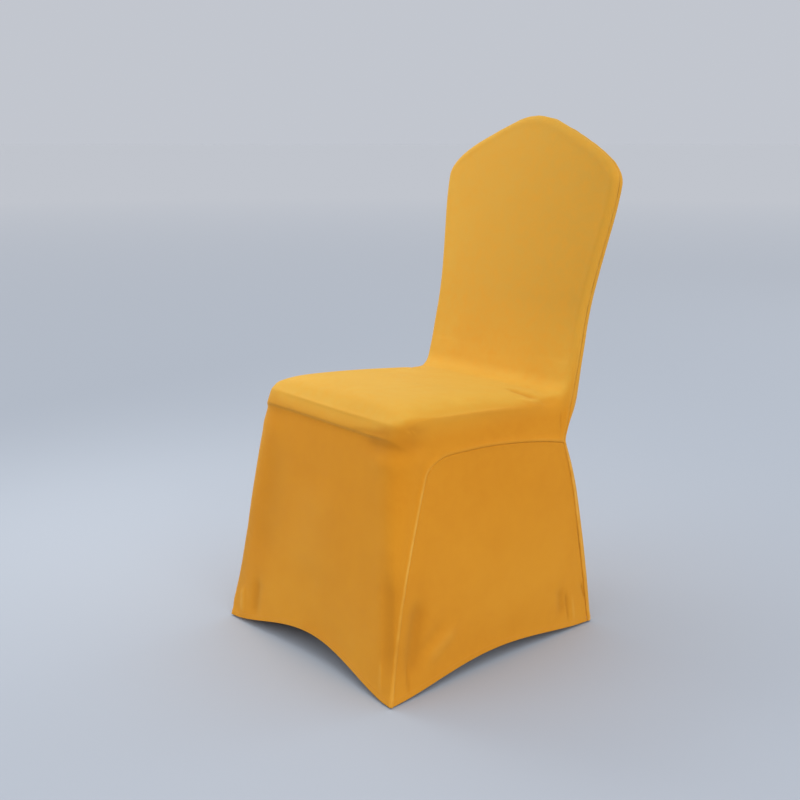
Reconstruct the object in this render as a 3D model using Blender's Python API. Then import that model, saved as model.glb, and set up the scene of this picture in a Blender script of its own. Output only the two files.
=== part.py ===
"""A fitted stretch cover for a banquet chair: one front piece over the inside back, the seat and the
front, two sides, one back and four foot pockets. Metres, +Z up, the cover's front faces -Y."""

import bpy
import numpy as np

# Cloth
CLOTH = 0.002  # thickness of the sheets
SEAM_GAP = 0.0003  # between two pieces sewn edge to edge
TO_ORIGIN_Y = 0.00168  # puts the middle of the cover's box over the origin
MUSTARD = (0.62, 0.305, 0.045, 1.0)
ROUGHNESS = 0.72

# Backrest: a leaning padded slab, by its middle plane
HIP_Z = 0.385  # height where the backrest's line starts
HIP_Y = 0.161  # its middle plane there
LEAN = np.radians(11.3)
RIM = 0.014  # half the slab's thickness at its rim
FRONT_PADDING = 0.008  # how much thicker the slab is in the middle
BACK_PADDING = 0.005

# Half outline of the backrest in its middle plane, up from the seat and over to the crown's peak
OUTLINE = (
    # x, z
    (0.2015, 0.440),
    (0.2015, 0.530),
    (0.1985, 0.610),
    (0.2095, 0.700),
    (0.2255, 0.800),
    (0.2252, 0.8690),
    (0.0470, 0.9475),
    (0.0000, 0.9525),
)
SHOULDER = 5.0  # place on the outline where its side turns into its top
CROWN_PEAK = 7.0

# Front piece, from the hem up: the middle of the face, the face's edge before it is rounded, the seam
# beside it, the rounding of the edge, how soft the cloth bends there, and the power by which the face
# falls from its middle to its edge
FRONT_SECTIONS = (
    # name, middle y, z, edge x, y, z, seam x, y, z, rounding, softness, power
    ("hem", -0.274, 0.042, 0.2530, -0.2900, 0.002, 0.2522, -0.2835, 0.002, 0.022, 1.0, 2),
    ("low", -0.268, 0.126, 0.2430, -0.2785, 0.100, 0.2417, -0.2645, 0.100, 0.028, 1.0, 2),
    ("mid", -0.257, 0.234, 0.2320, -0.2655, 0.220, 0.2290, -0.2330, 0.220, 0.038, 1.0, 2),
    ("high", -0.246, 0.337, 0.2215, -0.2540, 0.330, 0.2190, -0.1990, 0.320, 0.048, 1.0, 2),
    ("under seat", -0.2380, 0.398, 0.2140, -0.2440, 0.398, 0.2135, -0.1840, 0.362, 0.050, 0.8, 2),
    ("tuck", -0.2325, 0.428, 0.2110, -0.2390, 0.427, 0.2115, -0.1760, 0.376, 0.050, 0.45, 2),
    ("roll", -0.2400, 0.435, 0.2090, -0.2415, 0.436, 0.2100, -0.1640, 0.385, 0.048, 0.5, 2),
    ("front edge", -0.2300, 0.4580, 0.2015, -0.2290, 0.4590, 0.2085, -0.1480, 0.391, 0.032, 0.3, 2),
    ("cushion front", -0.2060, 0.4815, 0.2005, -0.2060, 0.4665, 0.2080, -0.1400, 0.394, 0.012, 0.8, 6),
    ("seat front", -0.165, 0.4870, 0.1990, -0.1600, 0.4630, 0.2070, -0.1150, 0.396, 0.004, 1.0, 7),
    ("seat", -0.030, 0.4790, 0.1980, -0.0300, 0.4570, 0.2060, -0.0200, 0.396, 0.004, 1.0, 7),
    ("seat rear", 0.085, 0.4690, 0.1975, 0.0850, 0.4515, 0.2060, 0.0850, 0.385, 0.006, 1.0, 6),
    ("hip", 0.152, 0.4600, 0.2000, 0.1590, 0.456, 0.2050, 0.1500, 0.372, 0.014, 1.0, 2),
)
HIP = 12  # place of the hip, where the front, side and back pieces meet
BELL_SECTIONS = 3  # the lowest sections rise in the middle as a bell, the others as a bow
BELL_POWER = 1.6

# Back piece, from the hem up to the end of the backrest's pad, in the same columns
BACK_SECTIONS = (
    ("hem", 0.236, 0.030, 0.2050, 0.2460, 0.003, 0.2065, 0.2290, 0.003, 0.016, 1.0, 2),
    ("low", 0.224, 0.112, 0.2055, 0.2300, 0.100, 0.2065, 0.2120, 0.100, 0.016, 1.0, 2),
    ("mid", 0.208, 0.206, 0.2050, 0.2120, 0.200, 0.2065, 0.1930, 0.200, 0.016, 1.0, 2),
    ("high", 0.190, 0.300, 0.2030, 0.1920, 0.300, 0.2065, 0.1730, 0.300, 0.015, 1.0, 2),
    ("hip", 0.168, 0.388, 0.1960, 0.1620, 0.388, 0.2050, 0.1500, 0.372, 0.014, 0.5, 2),
    ("pad end", 0.1935, 0.434, 0.2035, 0.1870, 0.430, 0.2038, 0.1680, 0.440, 0.014, 0.8, 2),
)
REAR_HIP = 4
LOW_BACK = 0.510  # height where the cloth lies on the backrest's rim all round

# Rows and columns of the sheets, as places between the sections above
SKIRT_ROWS = (0, 0.3, 0.65, 1.0, 1.5, 2.0, 2.5, 3.0, 3.5, 4.0, 4.5)
CUSHION_ROWS = (4.85, 5.15, 5.7, 6.15, 6.6, 6.85, 7.0, 7.15, 7.5, 7.8, 8.15, 8.5)
SEAT_ROWS = (9.0, 9.6, 10.2, 10.8, 11.3, 11.7, 12.0, 12.25, 12.6)
BACK_ROWS = (0, 0.3, 0.65, 1.0, 1.4, 1.8, 2.2, 2.6, 3.0, 3.5, 4.0, 4.5, 5.2)
OUTLINE_ROWS = (0, 0.12, 0.24, 0.36, 0.48, 0.6, 0.72, 0.82, 0.9, 0.95, 1.0)  # shares up to the shoulder
ACROSS = 14  # columns of the flat face between its rounded edges
ROUND_STEPS = 3  # columns of a rounded edge
BAND_STEPS = 2  # columns from the rounded edge to the seam
MOST_ROUNDED = 0.6  # largest share of the way from an edge to its seam that the rounding takes

# Hem of the side piece
SIDE_HEM_RISE = 0.020
SIDE_HEM_PULL = 0.009  # how far it is drawn in between the feet

# Foot pockets
POCKET_WIDTH = 0.034
POCKET_HEIGHT = 0.060
POCKET_CORNER = 0.015
POCKET_ROWS = 4
FRONT_POCKET_IN = (0.0105, 0.0065)  # how far a front pocket stays inside the cover's corner, in x and y
REAR_POCKET_IN = (0.0050, 0.0065)
POCKET_CORNER_STEPS = 3

# Numerical settings
KEY_SHIFT = 0.00000023  # added before rounding, see key_of
OUTLINE_STEP = 0.01  # distance between the places that give the outline's direction
HALVINGS = 30  # of the interval, when a place on the outline is looked for
SHARPEST_MITRE = 0.5  # limit where a seam's corner is drawn in


def soft_curve(corners, softness, places):
    """Points of a curve along a polygon whose corners are cut by their softness, 0 to 1.

    A place is a corner's number, or lies between two of them. Corners are arrays of any shape."""
    corners = np.asarray(corners, float)
    last = len(corners) - 1
    points = []
    for place in places:
        near = min(int(place + 0.5), last)
        away = place - near
        corner = corners[near]
        before = (corners[max(near - 1, 0)] + corner) / 2
        after = (corner + corners[min(near + 1, last)]) / 2
        soft = 0.0 if near in (0, last) else softness[near]
        start = corner + (before - corner) * soft
        end = corner + (after - corner) * soft
        if away < -soft / 2:
            share = (away + 0.5) / (0.5 - soft / 2)
            points.append(before + (start - before) * share)
        elif away > soft / 2:
            share = (0.5 - away) / (0.5 - soft / 2)
            points.append(after + (end - after) * share)
        else:
            turn = away / soft + 0.5 if soft else 0.5
            rounded = start * (1 - turn) ** 2 + corner * 2 * turn * (1 - turn) + end * turn**2
            points.append(rounded)
    return np.array(points)


def slab_point(x, z, depth):
    """A point of the leaning backrest: depth is behind its middle plane."""
    y = HIP_Y + (z - HIP_Z) * np.tan(LEAN)
    return np.array([x, y + depth * np.cos(LEAN), z - depth * np.sin(LEAN)])


def outline_at(place):
    """Half width and height of the backrest's outline at a place on it, and the way out from it."""
    softness = [1.0] * len(OUTLINE)
    places = (place - OUTLINE_STEP, place, min(place + OUTLINE_STEP, CROWN_PEAK))
    low, here, high = soft_curve(OUTLINE, softness, places)
    along = high - low
    outward = np.array([along[1], -along[0]]) / np.hypot(*along)
    return here, outward


def place_where(is_before, low, high):
    """The place on the outline up to which a test holds."""
    for _ in range(HALVINGS):
        middle = (low + high) / 2
        if is_before(outline_at(middle)[0]):
            low = middle
        else:
            high = middle
    return middle


def bell(share):
    """0 at a foot, 1 half way between the feet, level at both."""
    return np.abs(np.sin(np.pi * share)) ** BELL_POWER


def face_row(middle, edge, across, power, is_bell):
    """One section of a face: from the left edge through the middle to the right edge."""
    rows = []
    for u in across:
        fall = 1 - bell((1 + u) / 2) if is_bell else abs(u) ** power
        y = middle[0] + (edge[1] - middle[0]) * fall
        z = middle[1] + (edge[2] - middle[1]) * fall
        rows.append((edge[0] * u, y, z))
    return np.array(rows)


def rounded_edge(inner, edge, seam, rounding):
    """From the face's inner point round the edge, to where the straight way to the seam starts."""
    way = seam - edge
    length = np.linalg.norm(way)
    outer = edge + way * min(rounding, MOST_ROUNDED * length) / length
    turns = np.linspace(0, 1, ROUND_STEPS + 1)[1:]
    return [inner * (1 - t) ** 2 + edge * 2 * t * (1 - t) + outer * t**2 for t in turns]


def section_controls(middle, edge, seam, rounding, power, is_bell):
    """Control points of one section: the face, and the right rounded edge."""
    shares = np.linspace(-1, 1, ACROSS + 1)
    inner_share = 1 - rounding / edge[0]
    face = face_row(middle, edge, shares * inner_share, power, is_bell)
    return face, rounded_edge(face[-1], edge, seam, rounding)


def low_back_controls(side):
    """Middle, edge and seam of the backrest's lowest section. Side is -1 in front, 1 behind."""
    place = place_where(lambda point: point[1] < LOW_BACK, 0, SHOULDER)
    x, z = outline_at(place)[0]
    padding = FRONT_PADDING if side < 0 else BACK_PADDING
    middle = slab_point(0, z, side * (RIM + padding))
    return place, middle[1:], slab_point(x, z, side * RIM), slab_point(x, z, 0)


def crown_points():
    """The outline in the columns of a face, from the left shoulder over the peak to the right one: a
    column's hand, its point there and the way out from it."""
    shoulder_x = outline_at(SHOULDER)[0][0]
    found = []
    for u in np.linspace(-1, 1, ACROSS + 1):
        place = place_where(lambda point: point[0] > abs(u) * shoulder_x, SHOULDER, CROWN_PEAK)
        point, outward = outline_at(SHOULDER if abs(u) == 1 else place)
        if u == 0:
            point, outward = np.array([0.0, point[1]]), np.array([0.0, 1.0])
        found.append((np.sign(u), point, outward))
    return found


def backrest_rows(side, low_place):
    """Face, rounded edge and seam of the rows above the lowest backrest section, up to the shoulder."""
    faces, rounds, seams = [], [], []
    padding = FRONT_PADDING if side < 0 else BACK_PADDING
    inner = np.array([(hand * (x - RIM * out[0]), z - RIM * out[1]) for hand, (x, z), out in crown_points()])
    crown_across, crown_rise = inner[:, 0] / inner[-1, 0], inner[:, 1] - inner[-1, 1]
    for share in OUTLINE_ROWS[1:-1]:
        (x, z), outward = outline_at(low_place + (SHOULDER - low_place) * share)
        inner_x, inner_z = x - RIM * outward[0], z - RIM * outward[1]
        face = []
        for u, across, rise in zip(np.linspace(-1, 1, ACROSS + 1), crown_across, crown_rise):
            bow = (z - inner_z) * (1 - u * u) * (1 - share)
            depth = RIM + padding * (1 - u * u) * (1 - share**3)
            place = inner_x * (u + (across - u) * share**2)
            face.append(slab_point(place, inner_z + bow + rise * share**2, side * depth))
        faces.append(np.array(face))
        seams.append(slab_point(x, z, 0))
        rounds.append(np.array(rounded_edge(face[-1], slab_point(x, z, side * RIM), seams[-1], RIM)))
    return faces, rounds, seams


def crown_row(side):
    """Face, rounded edges and seam along the top, from the left shoulder to the right one."""
    face, rounds, seam = [], [], []
    for hand, (x, z), outward in crown_points():
        inner = slab_point(hand * (x - RIM * outward[0]), z - RIM * outward[1], side * RIM)
        edge = slab_point(hand * x, z, side * RIM)
        face.append(inner)
        seam.append(slab_point(hand * x, z, 0))
        rounds.append(rounded_edge(inner, edge, seam[-1], RIM))
    return np.array(face), np.array(rounds), np.array(seam)


def long_piece(sections, rows, hip, side):
    """A piece that runs from the hem over the hip to the crown: its face, its right edge band from the
    face to the seam, and its top band over the rim."""
    faces, edges, seams, softness = [], [], [], []
    for number, row in enumerate(sections):
        middle_y, middle_z, edge_x, edge_y, edge_z, seam_x, seam_y, seam_z, rounding, soft, power = row[1:]
        edge = np.array([edge_x, edge_y, edge_z])
        seam = np.array([seam_x, seam_y, seam_z])
        is_bell = number < BELL_SECTIONS
        face, rounded = section_controls((middle_y, middle_z), edge, seam, rounding, power, is_bell)
        faces.append(face)
        edges.append(rounded)
        seams.append(seam)
        softness.append(soft)
    low_place, middle, edge, seam = low_back_controls(side)
    face, rounded = section_controls(middle, edge, seam, RIM, 2, False)
    softness.append(1.0)
    rows = list(rows) + [len(sections)]
    face = soft_curve(faces + [face], softness, rows)
    band = soft_curve(np.array(edges + [rounded]), softness, rows)
    low_seam = soft_curve(seams[: hip + 1], [1.0] * len(seams), [row for row in rows if row <= hip])
    shares = [(row - hip) / (len(sections) - hip) for row in rows if row > hip]
    rim_seam = [seams[hip] + (seam - seams[hip]) * share for share in shares]

    upper_faces, upper_rounds, upper_seams = backrest_rows(side, low_place)
    top_face, top_rounds, crown = crown_row(side)
    face = np.concatenate([face, upper_faces, [top_face]])
    band = np.concatenate([band, upper_rounds, [top_rounds[-1]]])
    seam = np.concatenate([low_seam, rim_seam, upper_seams, crown[-1:]])
    return face, add_straight(band, seam), add_straight(top_rounds, crown)


def add_straight(band, seam):
    """The band of a rounded edge, lengthened straight to its seam."""
    start = band[:, -1]
    shares = np.linspace(0, 1, BAND_STEPS + 1)[1:]
    straight = [start + (seam - start) * share for share in shares]
    return np.concatenate([band, np.stack(straight, axis=1)], axis=1)


def mirrored(points):
    return points * np.array([-1.0, 1.0, 1.0])


def key_of(position):
    """A point's name, the same for points that differ by a rounding error. The shift keeps table values
    away from the halves where such points would be rounded apart."""
    return tuple(np.round(position + KEY_SHIFT, 6))


class Sheet:
    """A sheet's outer face as points and quads, put together from grids that share their borders."""

    def __init__(self):
        self.points = []
        self.quads = []
        self.known = {}

    def point(self, position):
        key = key_of(position)
        if key not in self.known:
            self.known[key] = len(self.points)
            self.points.append(position)
        return self.known[key]

    def grid(self, rows, turned=False):
        """Adds a grid. Its quads face outwards when its rows go right and its columns go up, seen from
        outside, or the other way round when turned."""
        numbers = [[self.point(p) for p in row] for row in rows]
        for low, high in zip(numbers[:-1], numbers[1:]):
            for k in range(len(low) - 1):
                quad = [low[k], low[k + 1], high[k + 1], high[k]]
                self.quads.append(quad[::-1] if turned else quad)


def quad_normals(points, quads):
    corners = points[np.array(quads)]
    return np.cross(corners[:, 2] - corners[:, 0], corners[:, 3] - corners[:, 1])


def shared_normals(sheets):
    """Unit normals at every point of each sheet, shared between sheets where their seams meet."""
    sums = {}
    for sheet in sheets:
        points = np.array(sheet.points)
        for quad, normal in zip(sheet.quads, quad_normals(points, sheet.quads)):
            for number in quad:
                key = key_of(points[number])
                sums[key] = sums.get(key, 0) + normal
    result = []
    for sheet in sheets:
        normals = np.array([sums[key_of(p)] for p in sheet.points])
        result.append(normals / np.linalg.norm(normals, axis=1)[:, None])
    return result


def border_of(quads):
    """Directed border edges of a sheet: each point's next point along the border."""
    edges = {}
    for quad in quads:
        for a, b in zip(quad, quad[1:] + quad[:1]):
            edges[(a, b)] = True
    return {a: b for (a, b) in edges if (b, a) not in edges}


def drawn_in(points, normals, following, distance):
    """The points with their border moved in by a distance along the sheet."""
    moved = points.copy()
    before = {b: a for a, b in following.items()}
    for number, after in following.items():
        way_in = np.cross(normals[number], points[after] - points[number])
        way_in /= np.linalg.norm(way_in)
        way_back = np.cross(normals[number], points[number] - points[before[number]])
        way_back /= np.linalg.norm(way_back)
        bisector = way_in + way_back
        bisector /= np.linalg.norm(bisector)
        moved[number] += bisector * distance / max(bisector @ way_in, SHARPEST_MITRE)
    return moved


def add_object(name, points, faces):
    """One piece of the cover, in its own cloth material."""
    material = bpy.data.materials.new(name)
    material.use_nodes = True
    shader = material.node_tree.nodes["Principled BSDF"]
    shader.inputs["Base Color"].default_value = MUSTARD
    shader.inputs["Roughness"].default_value = ROUGHNESS
    shader.inputs["Metallic"].default_value = 0.0
    mesh = bpy.data.meshes.new(name)
    moved = np.asarray(points) + (0, TO_ORIGIN_Y, 0)
    mesh.from_pydata(moved.tolist(), [], faces)
    mesh.validate()
    mesh.materials.append(material)
    mesh.shade_smooth()
    made = bpy.data.objects.new(name, mesh)
    bpy.context.scene.collection.objects.link(made)


def add_sheet(name, outer, inner, quads):
    """A closed solid between an outer and an inner copy of one sheet."""
    count = len(outer)
    faces = [tuple(quad) for quad in quads]
    faces += [tuple(number + count for number in quad[::-1]) for quad in quads]
    faces += [(b, a, a + count, b + count) for a, b in border_of(quads).items()]
    add_object(name, np.concatenate([outer, inner]), faces)


def filled(bottom, top, left, right):
    """A grid inside four border lines. Bottom and top run left to right, left and right run upwards."""
    columns, rows = len(bottom), len(left)
    grid = np.zeros((rows, columns, 3))
    for i in range(rows):
        for j in range(columns):
            u, v = j / (columns - 1), i / (rows - 1)
            ruled = bottom[j] * (1 - v) + top[j] * v + left[i] * (1 - u) + right[i] * u
            corners = bottom[0] * (1 - u) * (1 - v) + bottom[-1] * u * (1 - v)
            corners = corners + top[0] * (1 - u) * v + top[-1] * u * v
            grid[i, j] = ruled - corners
    return grid


def side_grid(leg_seam, top_seam, rear_seam):
    """The right side piece, from its front leg seam to its rear one. The arch over the front leg is where
    the first two lines meet."""
    columns = len(top_seam)
    hem = []
    for j in range(columns):
        share = j / (columns - 1)
        line = leg_seam[0] * (1 - share) + rear_seam[0] * share
        lift = np.array([-SIDE_HEM_PULL, 0, SIDE_HEM_RISE]) * bell(share)
        hem.append(line + lift)
    return filled(np.array(hem), top_seam, leg_seam, rear_seam)


def pocket_ring(corner, inward, splay, inset, height):
    """A foot pocket's section at a height: a square with round corners in the cover's corner."""
    width = POCKET_WIDTH - 2 * inset
    radius = POCKET_CORNER - inset
    middle = corner + splay * height + inward * POCKET_WIDTH / 2
    ring = []
    for quarter, (sx, sy) in enumerate(((1, 1), (-1, 1), (-1, -1), (1, -1))):
        for step in range(POCKET_CORNER_STEPS + 1):
            angle = (quarter + step / POCKET_CORNER_STEPS) * np.pi / 2
            x = sx * (width / 2 - radius) + radius * np.cos(angle)
            y = sy * (width / 2 - radius) + radius * np.sin(angle)
            ring.append(middle + np.array([x, y]))
    return [np.array([x, y, height]) for x, y in ring]


def add_pocket(name, foot, above, inside):
    """A cup sewn inside the cover's corner, for one chair foot."""
    inward = -np.sign(foot[:2])
    splay = (above[:2] - foot[:2]) / (above[2] - foot[2])
    corner = foot[:2] + inward * inside
    heights = np.linspace(0, POCKET_HEIGHT, POCKET_ROWS + 1)
    outer = [pocket_ring(corner, inward, splay, 0, height) for height in heights]
    inner = [pocket_ring(corner, inward, splay, CLOTH, max(height, CLOTH)) for height in heights]
    rings = outer + inner[::-1]
    around = len(outer[0])
    faces = [tuple(range(around))[::-1]]
    for level in range(len(rings) - 1):
        for k in range(around):
            after = (k + 1) % around
            low, high = level * around, (level + 1) * around
            faces.append((low + k, low + after, high + after, high + k))
    last = (len(rings) - 1) * around
    faces.append(tuple(range(last, last + around)))
    add_object(name, [point for ring in rings for point in ring], faces)


def clear_scene():
    for old in list(bpy.data.objects):
        bpy.data.objects.remove(old, do_unlink=True)


def main():
    clear_scene()
    front_rows = SKIRT_ROWS + CUSHION_ROWS + SEAT_ROWS
    front_face, front_band, front_top = long_piece(FRONT_SECTIONS, front_rows, HIP, -1)
    back_face, back_band, back_top = long_piece(BACK_SECTIONS, BACK_ROWS, REAR_HIP, 1)
    leg_rows = len(SKIRT_ROWS)
    hip_row = front_rows.index(HIP)
    leg_seam = front_band[:leg_rows, -1]
    top_seam = front_band[leg_rows - 1 : hip_row + 1, -1]
    rear_seam = back_band[:leg_rows, -1]
    side = side_grid(leg_seam, top_seam, rear_seam)

    front, back, right, left = Sheet(), Sheet(), Sheet(), Sheet()
    for sheet, face, band, top, turned in (
        (front, front_face, front_band, front_top, False),
        (back, back_face, back_band, back_top, True),
    ):
        side_band = np.concatenate([face[:, -1:], band], axis=1)
        top_band = np.concatenate([face[-1][:, None], top], axis=1)
        sheet.grid(face, turned)
        sheet.grid(side_band, turned)
        sheet.grid(mirrored(side_band), not turned)
        sheet.grid(top_band, not turned)
    right.grid(side)
    left.grid(mirrored(side), True)

    names = ("front_panel", "back_panel", "side_panel_right", "side_panel_left")
    sheets = (front, back, right, left)
    for name, sheet, normals in zip(names, sheets, shared_normals(sheets)):
        outer = drawn_in(np.array(sheet.points), normals, border_of(sheet.quads), SEAM_GAP / 2)
        add_sheet(name, outer, outer - normals * CLOTH, sheet.quads)

    for end, sections, inside in (
        ("front", FRONT_SECTIONS, FRONT_POCKET_IN),
        ("rear", BACK_SECTIONS, REAR_POCKET_IN),
    ):
        foot, above = np.array(sections[0][3:6]), np.array(sections[1][3:6])
        for hand, sign in (("right", 1), ("left", -1)):
            turn = np.array([sign, 1, 1])
            add_pocket(f"foot_pocket_{end}_{hand}", foot * turn, above * turn, np.array(inside))


main()
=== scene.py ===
"""A fitted stretch chair cover in mustard knit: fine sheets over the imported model's nodes, with soft
stretch folds, seams, hems and foot pockets, on a pale floor in soft light. Metres, +Z up."""

import bpy
import numpy as np
from mathutils import Matrix, Vector, kdtree, noise


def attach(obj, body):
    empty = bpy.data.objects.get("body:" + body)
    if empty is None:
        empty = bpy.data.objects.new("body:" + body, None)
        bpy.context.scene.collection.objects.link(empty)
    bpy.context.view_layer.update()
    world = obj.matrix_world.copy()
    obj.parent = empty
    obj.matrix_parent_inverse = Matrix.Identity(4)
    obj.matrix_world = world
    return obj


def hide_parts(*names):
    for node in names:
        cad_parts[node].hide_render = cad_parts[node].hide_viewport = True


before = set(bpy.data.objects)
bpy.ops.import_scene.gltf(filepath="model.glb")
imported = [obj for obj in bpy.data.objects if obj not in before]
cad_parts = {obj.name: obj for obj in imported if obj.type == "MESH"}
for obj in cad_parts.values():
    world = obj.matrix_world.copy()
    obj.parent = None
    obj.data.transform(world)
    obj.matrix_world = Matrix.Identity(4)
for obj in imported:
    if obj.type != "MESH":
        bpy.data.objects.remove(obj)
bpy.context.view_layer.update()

# Camera and stage
CAMERA_PLACE = (1.698, -1.4151, 0.937)
CAMERA_AZIMUTH = 51.547  # degrees round from looking along +Y
CAMERA_DOWN = 12.767  # degrees below the horizon
FOCAL_PIXELS = 1213.0
PICTURE_PIXELS = 800.0
SENSOR_MM = 36.0
CAMERA_CLIP = (0.05, 60.0)
FLOOR_SIZE = 160.0
FLOOR_DROP = 0.0004  # keeps the floor just below the feet
FLOOR_FADE = (1.5, 14.0)  # distances over which the floor turns to its far colour
FLOOR = (0.46, 0.505, 0.57, 1.0)
FAR_FLOOR = (0.61, 0.63, 0.665, 1.0)
WALL = (0.54, 0.565, 0.62, 1.0)
CEILING = (0.92, 0.93, 0.96, 1.0)
WALL_FADE = (0.14, 0.6)  # sines of the angles upwards between which the wall turns into the ceiling
LAMPS = (
    # name, place, what it looks at, width and height, power, colour, spread in degrees. The large ones
    # spread less, so that little of their light falls on the floor before them
    ("key", (-1.15, -0.25, 1.4), (0, 0.05, 0.55), (0.9, 0.9), 8.0, (1.0, 0.98, 0.94), 180),
    ("front", (-2.2, -5.8, 2.35), (0, 0, 0.3), (4.1, 3.4), 22.5, (1.0, 0.98, 0.95), 120),
    ("back", (0.6, 6.0, 2.6), (0, 0, 0.4), (3.6, 3.0), 16.0, (1.0, 0.98, 0.95), 120),
    ("side", (5.4, -1.0, 1.65), (0, 0, 0.3), (3.7, 3.7), 43.0, (1.0, 0.98, 0.95), 120),
)

# Cloth
CLOTH = 0.0011  # thickness that shows at the hems
SEAM_GAP = 0.0003  # between two pieces, along their seam
TO_ORIGIN = np.array([0, 0.00168, 0])  # brings the cover's middle over the origin

# Backrest: a leaning padded slab, by its middle plane
HIP_Z = 0.385
HIP_Y = 0.161
LEAN = np.radians(11.3)
RIM = 0.014  # the slab's half thickness, and the rounding of its rim
PADDING = {-1: 0.008, 1: 0.005}  # how far the pad swells in the middle of its front, -1, and its back, 1

# Half outline of the backrest in its middle plane, up from the seat and over to the crown's peak
OUTLINE = (
    # x, z
    (0.2015, 0.44),
    (0.2015, 0.53),
    (0.1985, 0.61),
    (0.2095, 0.7),
    (0.2255, 0.8),
    (0.2252, 0.869),
    (0.047, 0.9475),
    (0.0, 0.9525),
)
SHOULDER = 5.0  # places on the outline
CROWN_PEAK = 7.0

# Front piece, from the hem up: the face's middle, its edge before it is rounded, the seam beside it, the
# rounding, how softly the cloth bends, and the power by which the face falls to its edge
FRONT_SECTIONS = (
    # name, middle y, z, edge x, y, z, seam x, y, z, rounding, softness, power
    ("hem", -0.274, 0.042, 0.253, -0.29, 0.002, 0.2522, -0.2835, 0.002, 0.022, 1.0, 2),
    ("low", -0.268, 0.126, 0.243, -0.2785, 0.1, 0.2417, -0.2645, 0.1, 0.028, 1.0, 2),
    ("mid", -0.257, 0.234, 0.232, -0.2655, 0.22, 0.229, -0.233, 0.22, 0.038, 1.0, 2),
    ("high", -0.246, 0.337, 0.2215, -0.254, 0.33, 0.219, -0.199, 0.32, 0.048, 1.0, 2),
    ("under seat", -0.238, 0.398, 0.214, -0.244, 0.398, 0.2135, -0.184, 0.362, 0.05, 0.8, 2),
    ("tuck", -0.2325, 0.428, 0.211, -0.239, 0.427, 0.2115, -0.176, 0.376, 0.05, 0.45, 2),
    ("roll", -0.24, 0.435, 0.209, -0.2415, 0.436, 0.21, -0.164, 0.385, 0.048, 0.5, 2),
    ("front edge", -0.23, 0.458, 0.2015, -0.229, 0.459, 0.2085, -0.148, 0.391, 0.032, 0.3, 2),
    ("cushion front", -0.206, 0.4815, 0.2005, -0.206, 0.4665, 0.208, -0.14, 0.394, 0.012, 0.8, 6),
    ("seat front", -0.165, 0.487, 0.199, -0.16, 0.463, 0.207, -0.115, 0.396, 0.004, 1.0, 7),
    ("seat", -0.03, 0.479, 0.198, -0.03, 0.457, 0.206, -0.02, 0.396, 0.004, 1.0, 7),
    ("seat rear", 0.085, 0.469, 0.1975, 0.085, 0.4515, 0.206, 0.085, 0.385, 0.01, 1.0, 6),
    ("hip", 0.152, 0.46, 0.2, 0.159, 0.456, 0.205, 0.15, 0.372, 0.02, 1.0, 2),
)
HIP = 12  # number of the section
BELL_SECTIONS = 3  # this many sections up from the hem bow as its arch does
BELL_POWER = 1.6

# Back piece, in the same columns
BACK_SECTIONS = (
    ("hem", 0.236, 0.03, 0.205, 0.246, 0.003, 0.2065, 0.229, 0.003, 0.016, 1.0, 2),
    ("low", 0.224, 0.112, 0.2055, 0.23, 0.1, 0.2065, 0.212, 0.1, 0.016, 1.0, 2),
    ("mid", 0.208, 0.206, 0.205, 0.212, 0.2, 0.2065, 0.193, 0.2, 0.016, 1.0, 2),
    ("high", 0.19, 0.3, 0.203, 0.192, 0.3, 0.2065, 0.173, 0.3, 0.015, 1.0, 2),
    ("hip", 0.168, 0.388, 0.196, 0.162, 0.388, 0.205, 0.15, 0.372, 0.014, 0.5, 2),
    ("pad end", 0.1935, 0.434, 0.2035, 0.187, 0.43, 0.2038, 0.168, 0.44, 0.014, 0.8, 2),
)
REAR_HIP = 4
LOW_BACK = 0.51  # height from which the rows follow the backrest's outline
MOST_ROUNDED = 0.6  # of the way from an edge to its seam

# Sewing
HEM_STITCHES = 0.0098  # the stitched line's distance from the hem's edge
STITCH = 0.0032  # length of a stitch with its gap
THREAD_RADIUS = 0.00024
THREAD_SIDES = 7
SEAM_EDGE = 0.0037  # from a seam to the ridge beside it
RIM_EDGE = 0.017  # from the rim's seam to the edge of the pad
STITCH_FILL = 0.86  # of a stitch's length is thread
STITCH_RINGS = (
    # rings of thread along a stitch: share of its length, size, lift in thread radii
    (0, 0.3, -0.7),
    (0.1, 0.85, -0.1),
    (0.3, 1, 0.45),
    (0.7, 1, 0.45),
    (0.9, 0.85, -0.1),
    (1, 0.3, -0.7),
)
THREAD_TURN = 6.3  # scale of the thread's map around it, near a full turn

# Relief beside the sewing: height and width
RIDGE_WIDTH = 0.003
ALLOWANCE = (0.45, 0.0092)  # a seam's inside edge: share of the ridge's height, and distance
HEM_DOUBLED = (0.0004, 0.0125)  # a hem's inside edge: height, and distance
SEWN_LINE = (0.0005, 0.0009)
SEAM_PUCKER = (0.00012, 0.006)
HEM_LINE = (0.00032, 0.001)
HEM_PUCKER = (0.0001, 0.005)
RIDGE_WAVE = (0.013, 1.7, 0.031)  # a wave's length, how far it wanders, and over what length
SEAM_WAVE = (0.0021, 2.3, 0.0114)
HEM_WAVE = (0.0023, 1.9, 0.0131)
RIM_RAISED = (0.0007, 0.0035)
RIM_START = (0.47, 0.05)  # height where the rim's edge begins, and the height over which it does
CUT_EDGE = 0.0005  # softness of a cut edge seen through the cloth
LONG_RIDGE = (0.0016, 1.0)  # on the long pieces: height, and how much painted highlight it gets
SIDE_RIDGE = (0.0003, 0.0)  # on the side pieces
FOLDS_START = 0.003  # distance from a border over which the folds begin
SLACK_START = 0.02
FOLD_FADE = 0.3  # share of a fold's way over which its end fades
FOLD_ENDS = 0.15  # strength of a fold at its very ends
BROAD_SLACK = (7.0, 0.0009)  # scale of the noise, and its height
SMALL_SLACK = (23.0, 0.00022)
SLACK_SHIFT = (3.1, 0.4, 7.7)

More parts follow.
